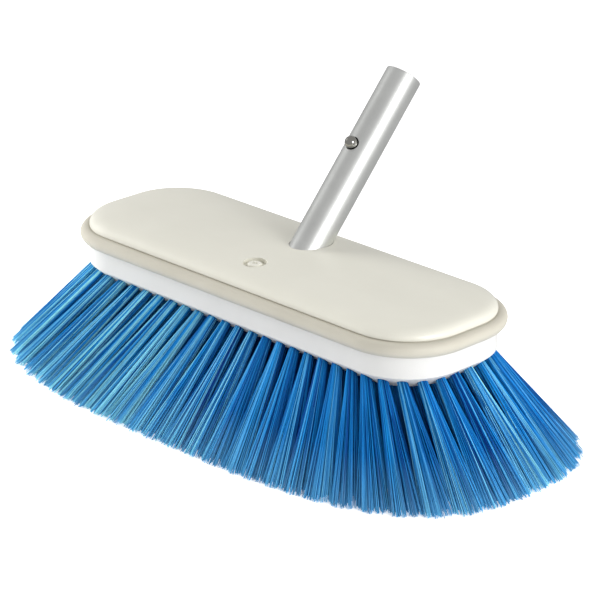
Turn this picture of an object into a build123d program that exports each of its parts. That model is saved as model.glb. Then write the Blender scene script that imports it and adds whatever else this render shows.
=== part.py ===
from build123d import *

import os
from math import cos, pi, radians, sin

# Brush head for a snap-on pole, in millimetres.
# The origin is at the middle of the bristle tips. X runs along the block, Y is the way the tube leans,
# and Z is up. Heights are measured from the bristle tips.

# Block outline, seen from above: a rounded rectangle
HALF_LENGTH = 140.0
HALF_WIDTH = 47.6
CORNER_R = 37.0

# Heights of the block, from its tufted face to the top of its cover
TUFT_FACE_Z = 52.0
BEVEL_TOP_Z = 59.8
LEDGE_Z = 73.0
SEAM_Z = 82.0
RIM_RISE = 5.3
CROWN_RISE = 2.4
RIM_INSET = 9.0
RIM_SHARPNESS = 2.4
CROWN_INSET = 33.0
BEVEL_INSET = 9.0

# Cover shell
COVER_WALL = 2.5
COVER_INSETS = (0.0, 0.35, 1.1, 2.3, 4.2, 7.0, 11.0, 16.0, 22.0, 28.0, 33.0)
SKIRT_INSET = 6.4
SKIRT_WALL = 2.0
SKIRT_BOTTOM_Z = 78.0
SKIRT_TOP_Z = 86.0

# Tufted block
PLATE_TOP_Z = 64.0
WALL_INSET = 3.0
WALL_THICK = 3.0
WALL_TOP_Z = 81.5
TUFT_HOLE_R = 2.75
TUFT_HOLE_DEPTH = 9.0

# Bumper ring: its nose stands out past the block outline
BUMPER_NOSE = 5.2
BUMPER_NOSE_Z = 78.4
BUMPER_FOOT = 0.6
BUMPER_SHOULDER = -0.2
BUMPER_SHOULDER_Z = 81.3
BUMPER_LIP = -0.9
BUMPER_BACK = -2.95

# Tube stub, its socket and its pin. Distances along the tube start where its axis crosses X = Y = 0.
TUBE_LEAN = 41.7
TUBE_ANCHOR_Z = 67.2
TUBE_R = 11.0
TUBE_WALL = 1.5
TUBE_START = 8.0
TUBE_END = 143.3
TUBE_EDGE_R = 0.5
SOCKET_CLEARANCE = 0.05
SOCKET_R = 15.0
SOCKET_TOP_Z = 85.5
OPENING_CLEARANCE = 0.25
BORE_REACH = 60.0
PIN_R = 2.0
PIN_LENGTH = 29.0
PIN_AT = 15.0
PIN_CLEARANCE = 0.03

# Snap button and its V spring
BUTTON_AT = 91.1
BUTTON_R = 3.6
BUTTON_WALL_TOP = 13.4
BUTTON_TOP = 16.0
BUTTON_HOLE_R = 4.25
CLIP_WIDTH = 8.0
CLIP_THICK = 0.6
CLIP_LEG = 8.1
CLIP_TIP_AT = 98.0
CLIP_KNEE_AT = 84.0
CLIP_BEND_AT = 49.0
CLIP_BEND_LEG = 2.4
CLIP_BEND_R = 2.0
CLIP_KNEE_R = 6.0

# Cover screw, in front of the tube
SCREW_Y = -26.0
RECESS_R = 7.0
RECESS_FLOOR_Z = 87.0
POST_R = 8.5
POST_BOTTOM_Z = 77.2
BOSS_R = 5.5
BOSS_TOP_Z = 77.0
SCREW_HEAD_R = 4.4
SCREW_HEAD_HEIGHT = 2.1
SCREW_R = 1.95
SCREW_HOLE_R = 2.0
SCREW_COVER_HOLE_R = 2.3
SCREW_BOTTOM_Z = 67.0
SCREW_HOLE_BOTTOM_Z = 66.5
DRIVE_WIDTH = 0.9
DRIVE_LENGTH = 4.4
DRIVE_DEPTH = 1.2

# Tufts. The outer rows follow the block outline, and the inner rows are straight.
TUFT_R = 2.6
TUFT_TIP_R = 5.5
TUFT_ROOT_DEPTH = 8.2
TIP_HALF_LENGTH = 193.5
TIP_HALF_WIDTH = 103.3
TIP_CORNER_R = 88.0
TIP_OVAL = 2.9
OUTER_COUNT = 60
OUTER_INSET = 4.6
OUTER_ROOT_Z = 55.9
OUTER_TIP_INSET = 8.0
SECOND_COUNT = 50
SECOND_INSET = 16.0
SECOND_TIP_INSET = 27.5
INNER_ROWS = ((-21.0, 19, 93.0), (-10.5, 21, 104.0), (0.0, 21, 104.0), (10.5, 21, 104.0), (21.0, 19, 93.0))
INNER_FAN_X = 1.33
INNER_FAN_Y = 1.95

# Wire anchors that hold the folded tufts in the bottom of their holes
ANCHOR_LENGTH = 5.2
ANCHOR_WIDTH = 1.0
ANCHOR_THICK = 0.5

TUBE_PLANE = Plane(
    origin=(0, 0, TUBE_ANCHOR_Z),
    x_dir=(1, 0, 0),
    z_dir=(0, sin(radians(TUBE_LEAN)), cos(radians(TUBE_LEAN))),
)


def section(inset, z):
    """The block outline, drawn in by inset, at height z."""
    outline = RectangleRounded(2 * (HALF_LENGTH - inset), 2 * (HALF_WIDTH - inset), CORNER_R - inset)
    return Pos(0, 0, z) * outline


def slab(inset, bottom, top):
    """The block outline, drawn in by inset, as a solid between two heights."""
    return extrude(section(inset, bottom), top - bottom)


def crown_z(inset):
    """Height of the cover's top skin: a rolled rim, then a slow crown to a level middle."""
    to_rim = max(0.0, 1.0 - inset / RIM_INSET)
    rim = RIM_RISE * (1.0 - to_rim**RIM_SHARPNESS) ** (1.0 / RIM_SHARPNESS)
    crown = CROWN_RISE * (1.0 - (1.0 - inset / CROWN_INSET) ** 2)
    return SEAM_Z + rim + crown


def dome(offset):
    """The cover's outer form, or the same form drawn in and down by offset."""
    return loft([section(inset + offset, crown_z(inset) - offset) for inset in COVER_INSETS])


def along_tube(radius, start, end):
    """A cylinder on the tube's axis."""
    return TUBE_PLANE * Pos(0, 0, start) * extrude(Circle(radius), end - start)


def across_tube(radius, length):
    """A cylinder along X, through the tube's axis at its retaining pin."""
    return TUBE_PLANE * Pos(-length / 2, 0, PIN_AT) * Rot(0, 90, 0) * extrude(Circle(radius), length)


def upright(radius, bottom, top):
    """A cylinder on the cover screw's axis."""
    return Pos(0, SCREW_Y, bottom) * extrude(Circle(radius), top - bottom)


def top_cover():
    """The crowned shell, with its locating skirt, tube opening and screw recess."""
    skirt_outer = slab(SKIRT_INSET, SKIRT_BOTTOM_Z, SKIRT_TOP_Z)
    skirt_inner = slab(SKIRT_INSET + SKIRT_WALL, SKIRT_BOTTOM_Z, SKIRT_TOP_Z)
    shell = dome(0.0) - dome(COVER_WALL)
    post = upright(POST_R, POST_BOTTOM_Z, RECESS_FLOOR_Z)
    shell = shell + (skirt_outer - skirt_inner) + post
    shell = shell - upright(RECESS_R, RECESS_FLOOR_Z, SEAM_Z + 20)
    shell = shell - upright(SCREW_COVER_HOLE_R, POST_BOTTOM_Z, SEAM_Z)
    shell = shell - upright(SCREW_COVER_HOLE_R, SEAM_Z, RECESS_FLOOR_Z)
    return shell - along_tube(TUBE_R + OPENING_CLEARANCE, 0, BORE_REACH)


def front_start_path():
    """The block outline as a wire that starts in the middle of its front side."""
    run_x = HALF_LENGTH - CORNER_R
    run_y = HALF_WIDTH - CORNER_R
    corners = ((run_x, -run_y, -90), (run_x, run_y, 0), (-run_x, run_y, 90), (-run_x, -run_y, 180))
    arcs = [CenterArc((x, y, 0), CORNER_R, start, 90) for x, y, start in corners]
    edges = [Line((0, -HALF_WIDTH, 0), arcs[0] @ 0), arcs[0]]
    for before, after in zip(arcs, arcs[1:]):
        edges += [Line(before @ 1, after @ 0), after]
    edges.append(Line(arcs[-1] @ 1, (0, -HALF_WIDTH, 0)))
    return Wire([edge.edge() for edge in edges])


def bumper():
    """The soft ring between the block's ledge and the cover's rim."""
    foot = (-HALF_WIDTH - BUMPER_FOOT, LEDGE_Z)
    nose = (-HALF_WIDTH - BUMPER_NOSE, BUMPER_NOSE_Z)
    shoulder = (-HALF_WIDTH - BUMPER_SHOULDER, BUMPER_SHOULDER_Z)
    lip = (-HALF_WIDTH - BUMPER_LIP, SEAM_Z)
    back = -HALF_WIDTH - BUMPER_BACK
    edges = ThreePointArc(foot, nose, shoulder)
    edges += Polyline(shoulder, lip, (back, SEAM_Z), (back, LEDGE_Z), foot)
    profile = Plane.YZ * make_face(edges)
    return sweep(profile, path=front_start_path())


def socket():
    """The raised boss that takes the tube, cut off level under the cover."""
    reach = Pos(0, 0, (PLATE_TOP_Z - 2 + SOCKET_TOP_Z) / 2) * Box(80, 120, SOCKET_TOP_Z - PLATE_TOP_Z + 2)
    return along_tube(SOCKET_R, -25, 45) & reach


def tuft_block(tufts):
    """The white base: tufted plate, rim wall, tube socket and screw boss."""
    bevel = loft([section(BEVEL_INSET, TUFT_FACE_Z), section(0, BEVEL_TOP_Z)], ruled=True)
    rim = slab(0, BEVEL_TOP_Z, LEDGE_Z) + slab(WALL_INSET, LEDGE_Z, WALL_TOP_Z)
    rim = rim - slab(WALL_INSET + WALL_THICK, PLATE_TOP_Z, WALL_TOP_Z)
    block = bevel + rim + socket() + upright(BOSS_R, PLATE_TOP_Z - 1, BOSS_TOP_Z)
    block = block - along_tube(TUBE_R + SOCKET_CLEARANCE, TUBE_START - SOCKET_CLEARANCE, BORE_REACH)
    block = block - across_tube(PIN_R + PIN_CLEARANCE, 2 * SOCKET_R)
    block = block - upright(SCREW_HOLE_R, SCREW_HOLE_BOTTOM_Z, BOSS_TOP_Z)
    holes = [tuft_hole(root, tip) for row in tufts.values() for root, tip in row]
    return block.cut(*holes)


def handle_tube():
    """The aluminium stub, with its button hole and pin holes."""
    tube = extrude(Circle(TUBE_R), TUBE_END - TUBE_START)
    tube = fillet(tube.edges().group_by(Axis.Z)[-1], TUBE_EDGE_R)
    tube = tube - extrude(Circle(TUBE_R - TUBE_WALL), TUBE_END - TUBE_START)
    tube = TUBE_PLANE * Pos(0, 0, TUBE_START) * tube
    tube = tube - button_axis() * extrude(Circle(BUTTON_HOLE_R), TUBE_R + 2)
    return tube - across_tube(PIN_R + PIN_CLEARANCE, 3 * TUBE_R)


def tube_pin():
    """The cross pin that keeps the tube in its socket."""
    return across_tube(PIN_R, PIN_LENGTH)


def button_axis():
    """Places a solid on the button's axis: its Z points out of the tube's upper side."""
    return TUBE_PLANE * Pos(0, 0, BUTTON_AT) * Rot(90, 0, 0)


def snap_button():
    """A round button with a domed top, standing on the spring's upper leg."""
    bottom = CLIP_LEG + CLIP_THICK / 2
    rise = BUTTON_TOP - BUTTON_WALL_TOP
    dome_r = (BUTTON_R**2 + rise**2) / (2 * rise)
    wall = Pos(0, 0, bottom) * extrude(Circle(BUTTON_R), BUTTON_WALL_TOP - bottom)
    above = Pos(0, 0, BUTTON_WALL_TOP) * extrude(Circle(BUTTON_R + 1), rise)
    cap = Pos(0, 0, BUTTON_TOP - dome_r) * Sphere(dome_r) & above
    return button_axis() * (wall + cap)


def spring_clip():
    """The V leaf spring inside the tube, with its bend towards the block."""
    path = FilletPolyline(
        (0, -CLIP_LEG, CLIP_TIP_AT),
        (0, -CLIP_LEG, CLIP_KNEE_AT),
        (0, -CLIP_BEND_LEG, CLIP_BEND_AT),
        (0, CLIP_BEND_LEG, CLIP_BEND_AT),
        (0, CLIP_LEG, CLIP_KNEE_AT),
        (0, CLIP_LEG, CLIP_TIP_AT),
        radius=(CLIP_KNEE_R, CLIP_BEND_R, CLIP_BEND_R, CLIP_KNEE_R),
    )
    start = Plane(origin=path @ 0, x_dir=(1, 0, 0), z_dir=path % 0)
    return TUBE_PLANE * sweep(start * Rectangle(CLIP_WIDTH, CLIP_THICK), path=path)


def cover_screw():
    """A pan head screw with a cross recess."""
    head = extrude(Circle(SCREW_HEAD_R), SCREW_HEAD_HEIGHT)
    head = fillet(head.edges().group_by(Axis.Z)[-1], 0.6 * SCREW_HEAD_HEIGHT)
    slot = Pos(0, 0, SCREW_HEAD_HEIGHT) * Box(DRIVE_LENGTH, DRIVE_WIDTH, 2 * DRIVE_DEPTH)
    head = head - slot - Rot(0, 0, 90) * slot
    shank = extrude(Circle(SCREW_R), SCREW_BOTTOM_Z - RECESS_FLOOR_Z)
    return Pos(0, SCREW_Y, RECESS_FLOOR_Z) * (head + shank)


def outline_point(half_x, half_y, radius, fraction):
    """A point on a rounded rectangle, a fraction of the way round from the middle of its front side."""
    run_x = half_x - radius
    run_y = half_y - radius
    quarter = run_x + pi * radius / 2 + run_y
    turn, along = divmod(fraction * 4 * quarter, quarter)
    if turn % 2:
        along = quarter - along
    if along < run_x:
        x, y = along, half_y
    elif along < quarter - run_y:
        angle = (along - run_x) / radius
        x, y = run_x + radius * sin(angle), run_y + radius * cos(angle)
    else:
        x, y = half_x, quarter - along
    return (x if turn < 2 else -x), (y if turn in (1, 2) else -y)


def on_oval(half_x, half_y, x, y):
    """A point moved along its ray from the middle on to a superellipse."""
    reach = abs(x / half_x) ** TIP_OVAL + abs(y / half_y) ** TIP_OVAL
    scale = reach ** (-1 / TIP_OVAL)
    return scale * x, scale * y


def ring_tufts(count, inset, root_z, tip_inset):
    """Root and tip points of one row of tufts that follows the outline."""
    rows = []
    for index in range(count):
        fraction = (index + 0.5) / count
        x, y = outline_point(HALF_LENGTH - inset, HALF_WIDTH - inset, CORNER_R - inset, fraction)
        half_x, half_y = TIP_HALF_LENGTH - tip_inset, TIP_HALF_WIDTH - tip_inset
        tip = outline_point(half_x, half_y, TIP_CORNER_R - tip_inset, fraction)
        tip_x, tip_y = on_oval(half_x, half_y, *tip)
        rows.append((Vector(x, y, root_z), Vector(tip_x, tip_y, 0)))
    return rows


def straight_tufts(y, count, reach):
    """Root and tip points of one straight row of tufts."""
    xs = [reach * (2 * index / (count - 1) - 1) for index in range(count)]
    return [(Vector(x, y, TUFT_FACE_Z), Vector(INNER_FAN_X * x, INNER_FAN_Y * y, 0)) for x in xs]


def side_of(root):
    """The side of the block that a tuft of an outer row stands on."""
    if abs(root.X) > HALF_LENGTH - CORNER_R:
        return "right" if root.X > 0 else "left"
    return "front" if root.Y < 0 else "back"


def tuft_rows():
    """Every tuft's root and tip, grouped by node."""
    rings = {
        "outer": ring_tufts(OUTER_COUNT, OUTER_INSET, OUTER_ROOT_Z, OUTER_TIP_INSET),
        "second": ring_tufts(SECOND_COUNT, SECOND_INSET, TUFT_FACE_Z, SECOND_TIP_INSET),
    }
    rows = {}
    for ring, tufts in rings.items():
        for root, tip in tufts:
            rows.setdefault(f"tufts_{ring}_{side_of(root)}", []).append((root, tip))
    for index, (y, count, reach) in enumerate(INNER_ROWS, start=1):
        rows[f"tufts_inner_row_{index}"] = straight_tufts(y, count, reach)
    return rows


def tuft_plane(root, tip):
    """A plane at a tuft's root whose Z points along its hole, into the block."""
    return Plane(origin=root, z_dir=(root - tip).normalized())


def tuft_hole(root, tip):
    """The blind hole that a tuft is stapled into."""
    start = TUFT_HOLE_R + 1
    plane = tuft_plane(root, tip)
    return Solid.make_cylinder(TUFT_HOLE_R, start + TUFT_HOLE_DEPTH, plane.offset(-start))


def tuft(root, tip):
    """One tuft: a round root in its hole, widening to tips that are trimmed level."""
    plane = tuft_plane(root, tip)
    length = (root - tip).length
    beyond = TUFT_TIP_R
    widening = (TUFT_TIP_R - TUFT_R) / length
    cone = Solid.make_cone(TUFT_TIP_R + beyond * widening, TUFT_R, length + beyond, plane.offset(-length - beyond))
    stem = Solid.make_cylinder(TUFT_R, TUFT_ROOT_DEPTH, plane)
    below_floor = Pos(tip.X, tip.Y, -20) * Box(60, 60, 40)
    return (cone + stem) - below_floor


def anchor(root, tip):
    """The flat wire across the bottom of one tuft hole."""
    plane = tuft_plane(root, tip).offset((TUFT_ROOT_DEPTH + TUFT_HOLE_DEPTH) / 2)
    return plane * Box(ANCHOR_LENGTH, ANCHOR_WIDTH, ANCHOR_THICK)


def grouped(shapes):
    """Separate solids in one node."""
    return Compound(children=[solid for shape in shapes for solid in shape.solids()])


def build():
    """Every node of the brush head, by name."""
    tufts = tuft_rows()
    nodes = {
        "top_cover": top_cover(),
        "bumper": bumper(),
        "tuft_block": tuft_block(tufts),
        "handle_tube": handle_tube(),
        "tube_pin": tube_pin(),
        "snap_button": snap_button(),
        "spring_clip": spring_clip(),
        "cover_screw": cover_screw(),
    }
    for name, row in tufts.items():
        nodes[name] = grouped([tuft(root, tip) for root, tip in row])
        nodes[name.replace("tufts", "anchors")] = grouped([anchor(root, tip) for root, tip in row])
    return nodes


os.makedirs("parts", exist_ok=True)
for node_name, shape in build().items():
    export_step(shape, f"parts/{node_name}.step")
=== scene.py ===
from math import cos, radians, sin

import bmesh
import bpy
import numpy as np
from mathutils import Matrix, Vector


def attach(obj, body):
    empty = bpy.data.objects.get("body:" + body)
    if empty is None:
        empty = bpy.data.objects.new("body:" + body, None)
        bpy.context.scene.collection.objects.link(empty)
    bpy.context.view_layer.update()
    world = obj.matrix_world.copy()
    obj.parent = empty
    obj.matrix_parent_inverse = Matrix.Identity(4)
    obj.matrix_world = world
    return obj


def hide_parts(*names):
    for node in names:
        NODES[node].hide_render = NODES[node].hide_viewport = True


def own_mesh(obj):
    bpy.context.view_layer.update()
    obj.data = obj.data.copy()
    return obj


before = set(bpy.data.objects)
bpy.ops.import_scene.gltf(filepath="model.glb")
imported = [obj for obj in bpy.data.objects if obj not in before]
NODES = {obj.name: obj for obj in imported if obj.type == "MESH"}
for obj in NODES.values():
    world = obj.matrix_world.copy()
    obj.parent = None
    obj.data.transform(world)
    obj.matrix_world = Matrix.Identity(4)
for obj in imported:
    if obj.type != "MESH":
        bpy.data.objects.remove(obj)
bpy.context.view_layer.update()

# Camera, in metres, millimetres of lens and degrees
VIEW_AZIMUTH = 44.56
VIEW_ELEVATION = 21.52
VIEW_ROLL = 0.63
VIEW_DISTANCE = 1.806
VIEW_TARGET = Vector((0.0, 0.0, 0.082))
VIEW_RIGHT = 0.00453
VIEW_UP = -0.01832
VIEW_LENS = 191.7
SENSOR = 36.0

# Bristle filaments, in metres
# Kind of tuft: how many filaments, their radius, how far the tips spread sideways and outward,
# and how light the filaments are; the second and inner rows are darker as painted shade between the
# rows
TUFT_KINDS = {
    "outer": (230, 0.00025, 0.0102, 0.0062, 1.0),
    "second": (160, 0.00024, 0.0104, 0.0105, 0.7),
    "inner": (120, 0.00024, 0.0088, 0.0115, 0.6),
}
CLUMPS = 100
CLUMPING = 0.5
ROOT_SPREAD = 0.0025
TIP_JITTER = 0.0005
IN_HOLE = 0.004
RAGGED = 0.0014
WAVE = 0.00022
WAVES = 9
RINGS = (0.0, 0.15, 0.5, 0.88, 1.0)
SPREAD_POWER = 1.10
SIDES = 3
TAPER = 0.1
FIRST_SEED = 11

# Shade of a filament: 0 is the deepest blue and 1 the palest
CLUMP_SHADE = 0.8
OWN_SHADE = 0.2
SHADE_JITTER = 0.05
SHADE_SHAPE = 0.85

# Painted light and shade along the brush, from -1 at its left end to 1 at its right end: the filaments
# are paler at the left end, darker to the right of the middle and paler again at the right end
HALF_REACH = 0.185
PAINTED_LIGHT_MIDDLE = 0.93
PAINTED_LIGHT_SLOPE = 0.42
PAINTED_RIGHT_END_LIGHT = 0.45
PAINTED_RIGHT_END_POWER = 8
PAINTED_LEFT_LIGHT = 0.16

# Softboxes: name, azimuth, elevation, distance, size, power and whether gloss shows them
AIM = Vector((0, 0, 0.08))
SOFTBOXES = (
    ("key", 84, 18, 1.3, 0.55, 7.0, True),
    ("sheen", -72, 28, 1.3, 0.6, 0.7, True),
    ("right", 118, 24, 1.4, 0.8, 6.0, False),
    ("left", -76, 16, 1.4, 0.8, 22.0, False),
    ("top", 140, 60, 1.3, 0.9, 2.5, False),
)
WORLD_STRENGTH = 0.44
FLOOR_SIZE = 30
FLOOR_Z = -0.0003
FLOOR_GLOW = 0.50


# ---------------------------------------------------------------- materials


def new_material(name):
    """An empty node material and its Principled shader."""
    material = bpy.data.materials.new(name)
    material.use_nodes = True
    return material, material.node_tree.nodes["Principled BSDF"]


def node(material, kind, **values):
    """A shader node with its inputs set by name."""
    made = material.node_tree.nodes.new(kind)
    for key, value in values.items():
        made.inputs[key.replace("_", " ")].default_value = value
    return made


def link(material, source, target):
    material.node_tree.links.new(source, target)


def object_coordinates(material, scale=(1, 1, 1), tilt=0.0):
    """The row frame's coordinates, tilted about X and then scaled."""
    coordinates = node(material, "ShaderNodeTexCoord")
    tilted = node(material, "ShaderNodeMapping")
    tilted.inputs["Rotation"].default_value = (tilt, 0, 0)
    scaled = node(material, "ShaderNodeMapping")
    scaled.inputs["Scale"].default_value = scale
    link(material, coordinates.outputs["Object"], tilted.inputs["Vector"])
    link(material, tilted.outputs["Vector"], scaled.inputs["Vector"])
    return scaled.outputs["Vector"]


def noise(material, vector, scale, detail=4.0, rough=0.55):
    made = node(material, "ShaderNodeTexNoise", Scale=scale, Detail=detail, Roughness=rough)
    link(material, vector, made.inputs["Vector"])
    return made.outputs["Fac"]


def spread(material, value, low, high, from_low=0.3, from_high=0.7):
    """Maps a noise value onto a range."""
    made = node(material, "ShaderNodeMapRange")
    made.inputs["From Min"].default_value = from_low
    made.inputs["From Max"].default_value = from_high
    made.inputs["To Min"].default_value = low
    made.inputs["To Max"].default_value = high
    link(material, value, made.inputs["Value"])
    return made.outputs["Result"]


def mixed(material, factor, first, second):
    """A colour between two others."""
    made = material.node_tree.nodes.new("ShaderNodeMix")
    made.data_type = "RGBA"
    for socket, value in ((made.inputs[6], first), (made.inputs[7], second)):
        if isinstance(value, tuple):
            socket.default_value = (*value, 1.0)
        else:
            link(material, value, socket)
    link(material, factor, made.inputs[0])
    return made.outputs[2]


def bump(material, shader, height, strength, distance):
    made = node(material, "ShaderNodeBump", Strength=strength, Distance=distance)
    link(material, height, made.inputs["Height"])
    link(material, made.outputs["Normal"], shader.inputs["Normal"])


def moulded(name, colour, dark, rough, grain, strength, coat=0.0):
    """A moulded plastic or rubber: soft mottling, fine grain and uneven gloss."""
    material, shader = new_material(name)
    vector = object_coordinates(material)
    mottle = spread(material, noise(material, vector, 30.0, 2.0), 0.0, 1.0)
    link(material, mixed(material, mottle, colour, dark), shader.inputs["Base Color"])
    gloss = spread(material, noise(material, vector, 90.0, 3.0), rough - 0.02, rough + 0.04)
    link(material, gloss, shader.inputs["Roughness"])
    bump(material, shader, noise(material, vector, grain, 3.0), strength, 0.0004)
    shader.inputs["Coat Weight"].default_value = coat
    shader.inputs["Coat Roughness"].default_value = 0.22
    shader.inputs["IOR"].default_value = 1.49
    return material


def drawn_metal(name, colour, rough, tilt, along, strength):
    """Drawn metal: fine lines along one direction, with faint handling marks."""
    material, shader = new_material(name)
    lines = noise(material, object_coordinates(material, (1, 1, along), tilt), 1300.0, 4.0, 0.7)
    marks = noise(material, object_coordinates(material), 55.0, 6.0, 0.7)
    shade = spread(material, marks, 0.0, 1.0)
    darker = tuple(0.9 * channel for channel in colour)
    link(material, mixed(material, shade, colour, darker), shader.inputs["Base Color"])
    gloss = node(material, "ShaderNodeMath")
    gloss.operation = "ADD"
    link(material, spread(material, lines, rough - 0.05, rough + 0.06), gloss.inputs[0])
    link(material, spread(material, marks, 0.0, 0.05, 0.5, 0.8), gloss.inputs[1])
    link(material, gloss.outputs[0], shader.inputs["Roughness"])
    bump(material, shader, lines, strength, 0.00005)
    shader.inputs["Metallic"].default_value = 1.0
    return material


def attribute(material, name):
    made = material.node_tree.nodes.new("ShaderNodeAttribute")
    made.attribute_name = name
    return made.outputs["Fac"]


def bristle_material():
    """Blue filament: each one has its own shade and painted light, and all get paler towards their
    worn ends.
    """
    material, shader = new_material("bristle_filament")
    # tone holds each filament's own shade together with the painted light and shade along the brush
    tone = attribute(material, "tone")
    along = attribute(material, "along")
    deep = (0.0, 0.055, 0.30)
    middle = (0.010, 0.30, 0.76)
    pale = (0.35, 0.88, 1.0)
    low = mixed(material, spread(material, tone, 0.0, 1.0, 0.0, 0.55), deep, middle)
    colour = mixed(material, spread(material, tone, 0.0, 1.0, 0.55, 1.0), low, pale)
    worn = spread(material, along, 0.0, 0.25, 0.6, 1.0)
    link(material, mixed(material, worn, colour, pale), shader.inputs["Base Color"])
    shader.inputs["Roughness"].default_value = 0.38
    shader.inputs["Specular IOR Level"].default_value = 0.18
    return material


def paint(names, material):
    """Gives CAD nodes a material."""
    for name in names:
        slots = NODES[name].data.materials
        slots.clear()
        slots.append(material)


TUBE_TILT = radians(41.7)


def paint_cad_nodes():
    ivory = ((0.74, 0.725, 0.64), (0.72, 0.705, 0.62))
    beige = ((0.575, 0.548, 0.468), (0.53, 0.503, 0.425))
    white = ((0.74, 0.735, 0.715), (0.71, 0.705, 0.685))
    paler = ((0.80, 0.785, 0.70), (0.77, 0.755, 0.67))
    aluminium = (0.90, 0.91, 0.89)
    paint(["top_cover"], moulded("ivory_cover", *ivory, 0.30, 900.0, 0.12, 0.30))
    paint(["bumper"], moulded("bumper_rubber", *beige, 0.5, 1400.0, 0.30))
    paint(["tuft_block"], moulded("white_base", *white, 0.42, 1100.0, 0.15))
    paint(["handle_tube"], drawn_metal("drawn_aluminium", aluminium, 0.44, TUBE_TILT, 0.012, 0.4))
    paint(["snap_button"], drawn_metal("polished_button", (0.44, 0.43, 0.40), 0.12, 0.0, 1.0, 0.05))
    paint(["cover_screw"], moulded("coated_screw", *paler, 0.24, 900.0, 0.05, 0.4))
    paint(["tube_pin"], drawn_metal("plain_steel", (0.62, 0.62, 0.63), 0.25, 0.0, 0.2, 0.1))
    anchors = [name for name in NODES if name.startswith("anchors")]
    paint(anchors, drawn_metal("anchor_wire", (0.60, 0.56, 0.48), 0.35, 0.0, 1.0, 0.1))


# ---------------------------------------------------------------- bristles


def solids_of(name):
    """The vertices of each separate solid of a CAD node."""
    shape = bmesh.new()
    shape.from_mesh(NODES[name].data)
    bmesh.ops.remove_doubles(shape, verts=shape.verts, dist=1e-6)
    left = set(shape.verts)
    groups = []
    while left:
        stack = [left.pop()]
        group = []
        while stack:
            vertex = stack.pop()
            group.append(vertex.co[:])
            for edge in vertex.link_edges:
                other = edge.other_vert(vertex)
                if other in left:
                    left.remove(other)
                    stack.append(other)
        groups.append(np.array(group))
    shape.free()
    return sorted(groups, key=lambda group: tuple(group.mean(axis=0).round(4)))


def tuft_line(points):
    """The two ends of a tuft's centre line: at the bottom of its hole and at its tips."""
    level = points[points[:, 2] < 0.0001]
    tip = (level.min(axis=0) + level.max(axis=0)) / 2
    root = points[points[:, 2] > points[:, 2].max() - 0.001].mean(axis=0)
    for _ in range(3):
        axis = (root - tip) / np.linalg.norm(root - tip)
        reach = points @ axis
        root = points[reach > reach.max() - 0.0002].mean(axis=0)
    return root, tip


def across(direction):
    """Two unit vectors square to each direction."""
    side = np.cross(direction, np.array([0.01, 1.0, 0.0]))
    side /= np.linalg.norm(side, axis=-1, keepdims=True)
    return side, np.cross(direction, side)


def disc(rng, count, radius):
    """Points spread evenly over a disc."""
    reach = radius * np.sqrt(rng.random(count))
    turn = 2 * np.pi * rng.random(count)
    return reach * np.cos(turn), reach * np.sin(turn)


def tuft_filaments(rng, kind, root, tip):
    """One tuft's centre lines, as an array of filament, step and XYZ, and each filament's shade and
    painted light.
    """
    count, _, sideways, outward, light = TUFT_KINDS[kind]
    length = np.linalg.norm(root - tip)
    start = root + (tip - root) * (IN_HOLE / length)
    lean = np.array([*(tip - root)[:2], 0.0])
    lean = lean / np.linalg.norm(lean) if np.linalg.norm(lean) > 1e-4 else np.array([1.0, 0.0, 0.0])
    side = np.cross((0.0, 0.0, 1.0), lean)
    other = np.cross(side, (tip - root) / length)
    x, y = disc(rng, count, 1.0)
    at_root = ROOT_SPREAD * (x[:, None] * side + y[:, None] * other)
    clump_x, clump_y = disc(rng, CLUMPS, 1.0)
    nearest = np.argmin((x[:, None] - clump_x) ** 2 + (y[:, None] - clump_y) ** 2, axis=1)
    x += CLUMPING * (clump_x[nearest] - x)
    y += CLUMPING * (clump_y[nearest] - y)
    at_tip = sideways * x[:, None] * side + outward * y[:, None] * lean * np.sign(other @ lean)
    at_tip[:, :2] += rng.normal(0.0, TIP_JITTER, (count, 2))
    cut = 1.0 - RAGGED * rng.random(count) ** 2 / length
    s = np.array(RINGS)[None, :, None] * cut[:, None, None]
    fan = s**SPREAD_POWER
    lines = start + (tip - start) * s + at_root[:, None, :] * (1 - fan) + at_tip[:, None, :] * fan
    phase = 2 * np.pi * rng.random((count, 1, 1))
    lines += WAVE * np.sin(WAVES * s + phase) * np.sin(np.pi * s) * side
    tone = CLUMP_SHADE * rng.beta(SHADE_SHAPE, SHADE_SHAPE, CLUMPS)[nearest]
    tone = tone + OWN_SHADE * rng.random(count) + rng.normal(0.0, SHADE_JITTER)
    # Painted light and shade along the brush: paler at the left end, darker right of the middle, paler
    # again at the right end
    along = tip[0] / HALF_REACH
    light *= PAINTED_LIGHT_MIDDLE - PAINTED_LIGHT_SLOPE * along + PAINTED_RIGHT_END_LIGHT * max(along, 0.0) ** PAINTED_RIGHT_END_POWER
    return lines, np.clip(light * tone + PAINTED_LEFT_LIGHT * max(-along, 0.0), 0, 1)


def tubes(lines, radius):
    """Three-sided closed tubes along many lines: their points, side faces and end faces."""
    count, steps, _ = lines.shape
    direction = lines[:, -1] - lines[:, 0]
    direction /= np.linalg.norm(direction, axis=-1, keepdims=True)
    side, other = across(direction)
    corners = 2 * np.pi * np.arange(SIDES) / SIDES
    ring = np.cos(corners)[None, :, None] * side[:, None]
    ring = ring + np.sin(corners)[None, :, None] * other[:, None]
    width = radius * (1 - TAPER * np.linspace(0, 1, steps))
    points = lines[:, :, None, :] + width[None, :, None, None] * ring[:, None]
    base = SIDES * (np.arange(count)[:, None] * steps + np.arange(steps - 1)[None, :])
    faces = []
    for corner in range(SIDES):
        after = (corner + 1) % SIDES
        above = base + SIDES
        faces.append(np.stack([base + corner, base + after, above + after, above + corner], axis=-1))
    quads = np.concatenate([block.reshape(-1, 4) for block in faces])
    first = SIDES * steps * np.arange(count)
    last = first + SIDES * (steps - 1)
    caps = np.concatenate([first[:, None] + np.array([2, 1, 0]), last[:, None] + np.array([0, 1, 2])])
    return points.reshape(-1, 3), quads, caps


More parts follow.
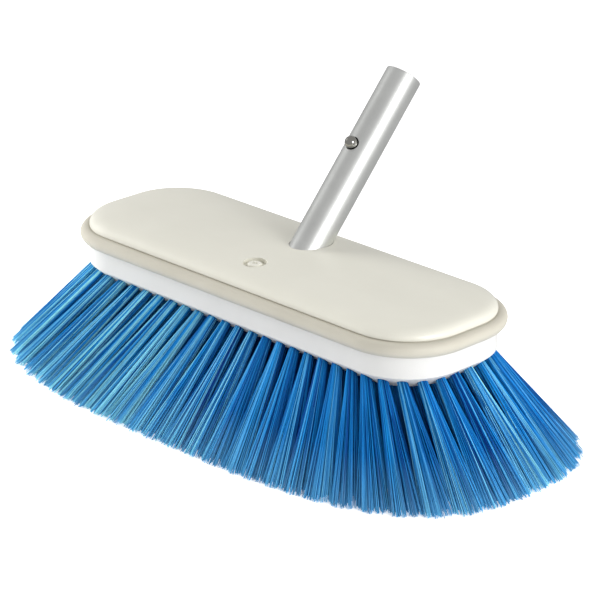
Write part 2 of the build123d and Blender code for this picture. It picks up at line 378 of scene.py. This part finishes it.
def bristle_mesh(name, points, quads, caps, shades):
    """A mesh with a value for each filament's shade and for the place along it."""
    mesh = bpy.data.meshes.new(name)
    mesh.from_pydata(points.tolist(), [], quads.tolist() + caps.tolist())
    for label, values in shades.items():
        mesh.attributes.new(label, "FLOAT", "POINT").data.foreach_set("value", values)
    mesh.polygons.foreach_set("use_smooth", [True] * len(mesh.polygons))
    mesh.update()
    return mesh


def bristle_row(name, material, seed):
    """The filaments of every tuft in one CAD node."""
    rng = np.random.default_rng(seed)
    kind = name.split("_")[1]
    tufts = [tuft_filaments(rng, kind, *tuft_line(solid)) for solid in solids_of(name)]
    lines = np.concatenate([lines for lines, _ in tufts])
    shades = {
        "tone": np.repeat(np.concatenate([tone for _, tone in tufts]), SIDES * len(RINGS)),
        "along": np.tile(np.repeat(RINGS, SIDES), len(lines)),
    }
    shape = tubes(lines, TUFT_KINDS[kind][1])
    mesh = bristle_mesh(name.replace("tufts", "bristles"), *shape, shades)
    piece = bpy.data.objects.new(mesh.name, mesh)
    bpy.context.collection.objects.link(piece)
    mesh.materials.append(material)
    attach(piece, "head")
    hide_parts(name)


def build_bristles():
    material = bristle_material()
    rows = sorted(name for name in NODES if name.startswith("tufts"))
    for seed, name in enumerate(rows, start=FIRST_SEED):
        bristle_row(name, material, seed)


# ---------------------------------------------------------------- spring clip


def build_spring_clip():
    """The flat spring inside the tube, which on the real brush closes as the button is pressed; here
    it keeps its CAD shape.
    """
    mesh = NODES["spring_clip"].data.copy()
    mesh.materials.clear()
    mesh.materials.append(drawn_metal("spring_steel", (0.50, 0.50, 0.52), 0.22, TUBE_TILT, 0.05, 0.15))
    clip = bpy.data.objects.new("spring_clip_leaf", mesh)
    bpy.context.collection.objects.link(clip)
    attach(clip, "head")
    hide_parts("spring_clip")
    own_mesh(clip)


# ---------------------------------------------------------------- stage


def view_axes(azimuth, elevation):
    """The right, up and back directions of a camera that looks at the brush."""
    a, e = radians(azimuth), radians(elevation)
    back = Vector((sin(a) * cos(e), -cos(a) * cos(e), sin(e)))
    right = Vector((cos(a), sin(a), 0.0))
    return right, back.cross(right), back


def add_camera():
    camera = bpy.data.objects.new("camera", bpy.data.cameras.new("camera"))
    bpy.context.collection.objects.link(camera)
    right, up, back = view_axes(VIEW_AZIMUTH, VIEW_ELEVATION)
    roll = radians(VIEW_ROLL)
    rolled_right = cos(roll) * right + sin(roll) * up
    rolled_up = cos(roll) * up - sin(roll) * right
    place = VIEW_TARGET + back * VIEW_DISTANCE + rolled_right * VIEW_RIGHT + rolled_up * VIEW_UP
    turn = Matrix((rolled_right, rolled_up, back)).transposed().to_4x4()
    camera.matrix_world = Matrix.Translation(place) @ turn
    camera.data.lens = VIEW_LENS
    camera.data.sensor_width = SENSOR
    camera.data.clip_start = 0.05
    camera.data.clip_end = 100.0
    bpy.context.scene.camera = camera


def add_softbox(name, azimuth, elevation, distance, size, power, in_gloss):
    """A square area light that faces the middle of the brush."""
    light = bpy.data.lights.new(name, "AREA")
    light.shape = "SQUARE"
    light.size = size
    light.energy = power
    lamp = bpy.data.objects.new(name, light)
    bpy.context.collection.objects.link(lamp)
    right, up, back = view_axes(azimuth, elevation)
    turn = Matrix((right, up, back)).transposed().to_4x4()
    lamp.matrix_world = Matrix.Translation(AIM + back * distance) @ turn
    lamp.visible_glossy = in_gloss


def add_floor():
    """A wide pale floor, level with the bristle tips."""
    bpy.ops.mesh.primitive_plane_add(size=FLOOR_SIZE, location=(0, 0, FLOOR_Z))
    floor = bpy.context.object
    floor.name = "floor"
    material, shader = new_material("pale_floor")
    shader.inputs["Base Color"].default_value = (0.90, 0.90, 0.90, 1)
    shader.inputs["Roughness"].default_value = 0.9
    shader.inputs["Emission Color"].default_value = (1, 1, 1, 1)
    shader.inputs["Emission Strength"].default_value = FLOOR_GLOW
    floor.data.materials.append(material)
    floor.visible_glossy = False


def light_scene():
    world = bpy.data.worlds.new("studio")
    world.use_nodes = True
    background = world.node_tree.nodes["Background"]
    background.inputs["Color"].default_value = (1, 1, 1, 1)
    background.inputs["Strength"].default_value = WORLD_STRENGTH
    bpy.context.scene.world = world
    for softbox in SOFTBOXES:
        add_softbox(*softbox)
    bpy.context.scene.view_settings.view_transform = "Standard"


add_camera()
light_scene()
add_floor()
paint_cad_nodes()
build_bristles()
build_spring_clip()
